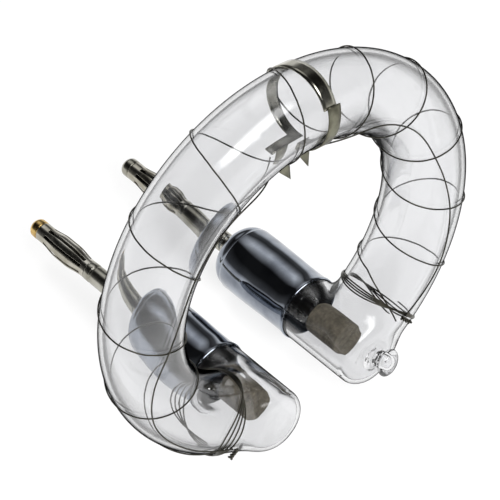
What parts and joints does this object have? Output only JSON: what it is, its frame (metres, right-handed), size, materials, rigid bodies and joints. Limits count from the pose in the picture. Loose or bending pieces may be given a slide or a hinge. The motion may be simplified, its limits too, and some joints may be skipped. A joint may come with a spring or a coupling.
{
  "type": "plug-in ring flashtube",
  "caption": "Ring-shaped glass flashtube with trigger band and wound trigger wire, capped electrode legs and spring-cage plugs for a studio flash head.",
  "frame": {"origin": "centre of the ring, in the plane of the bent tube's centreline", "axes": "+Y along the legs from the ring towards the plug tips, +Z from the gap towards the top of the ring, +X towards the leg that carries the exhaust tip"},
  "size_m": [0.0836, 0.0768, 0.0812],
  "materials": {
    "ring_tube": "clear, polished quartz",
    "exhaust_tip": "clear, polished quartz",
    "trigger_band": "bright nickel strip",
    "trigger_helix": "dull drawn wire",
    "left_leg_tube": "clear, polished quartz",
    "left_seal_stem": "clear graded glass",
    "left_electrode": "matt sintered metal",
    "left_electrode_rod": "drawn tungsten",
    "left_cap_cement": "matt set compound",
    "left_end_cap": "polished plating",
    "left_pin_retainer": "stamped",
    "left_plug_pin": "turned, nickel plated",
    "left_spring_cage": "nickel-plated spring sheet",
    "left_trigger_run": "dull drawn wire",
    "left_end_wrap": "dull drawn wire",
    "left_wire_twist": "dull drawn wire",
    "right_leg_tube": "clear, polished quartz",
    "right_seal_stem": "clear graded glass",
    "right_electrode": "matt sintered metal",
    "right_electrode_rod": "drawn tungsten",
    "right_cap_cement": "matt set compound",
    "right_end_cap": "polished plating",
    "right_pin_retainer": "stamped",
    "right_plug_pin": "turned, nickel plated",
    "right_spring_cage": "nickel-plated spring sheet",
    "right_trigger_run": "dull drawn wire",
    "right_end_wrap": "dull drawn wire",
    "right_wire_twist": "dull drawn wire",
    "left_plug_tip": "bare turned brass",
    "right_plug_tip": "turned, nickel plated"
  },
  "bodies": {
    "tube": {"ring_tube": "ring_tube", "exhaust_tip": "exhaust_tip", "trigger_band": "trigger_band", "trigger_helix": "trigger_helix", "left_leg_tube": "left_leg_tube", "left_seal_stem": "left_seal_stem", "left_electrode": "left_electrode", "left_electrode_rod": "left_electrode_rod", "left_cap_cement": "left_cap_cement", "left_end_cap": "left_end_cap", "left_pin_retainer": "left_pin_retainer", "left_plug_pin": "left_plug_pin", "left_trigger_run": "left_trigger_run", "left_end_wrap": "left_end_wrap", "left_wire_twist": "left_wire_twist", "right_leg_tube": "right_leg_tube", "right_seal_stem": "right_seal_stem", "right_electrode": "right_electrode", "right_electrode_rod": "right_electrode_rod", "right_cap_cement": "right_cap_cement", "right_end_cap": "right_end_cap", "right_pin_retainer": "right_pin_retainer", "right_plug_pin": "right_plug_pin", "right_trigger_run": "right_trigger_run", "right_end_wrap": "right_end_wrap", "right_wire_twist": "right_wire_twist", "left_plug_tip": "left_plug_tip", "right_plug_tip": "right_plug_tip"},
    "left_cage": {"left_spring_cage": "left_spring_cage"},
    "right_cage": {"right_spring_cage": "right_spring_cage"}
  },
  "joints": [
    {"name": "left_cage_spin", "type": "hinge", "parent": "tube", "child": "left_cage", "pos_m": [-0.01163, 0.05485, -0.03195], "axis": [0, 1, 0], "continuous": true},
    {"name": "right_cage_spin", "type": "hinge", "parent": "tube", "child": "right_cage", "pos_m": [0.01163, 0.05485, -0.03195], "axis": [0, 1, 0], "continuous": true}
  ]
}
